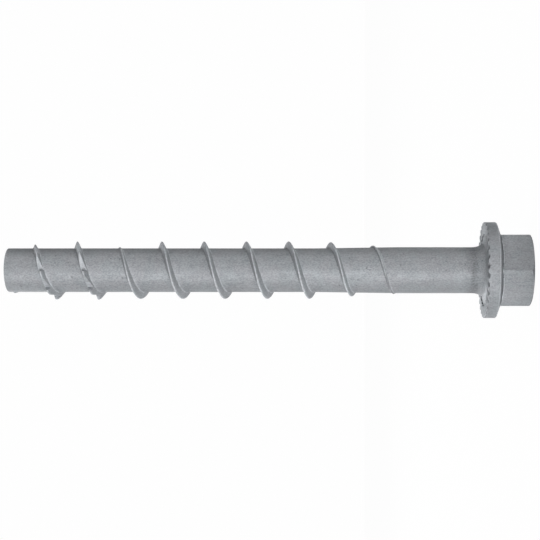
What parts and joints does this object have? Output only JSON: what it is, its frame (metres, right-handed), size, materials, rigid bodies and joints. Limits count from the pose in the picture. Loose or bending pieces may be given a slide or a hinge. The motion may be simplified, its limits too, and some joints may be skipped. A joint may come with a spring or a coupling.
{
  "type": "concrete screw",
  "caption": "Self-tapping concrete screw with a hexagon flange head, serrated seat, plain shank and coarse right-hand thread with notched cutting teeth near its blunt tip.",
  "frame": {"origin": "centre of the flat top of the hex head, which the screw stands on", "axes": "+Z along the screw from the head to the tip; +X through the middle of one flat of the hex; one corner of the hex points along -Y"},
  "size_m": [0.0202, 0.0202, 0.1098],
  "materials": {
    "zinc_coat": "matt grey zinc coating on forged steel, finely granular"
  },
  "bodies": {
    "root": {"concrete_screw": "zinc_coat"}
  },
  "joints": []
}
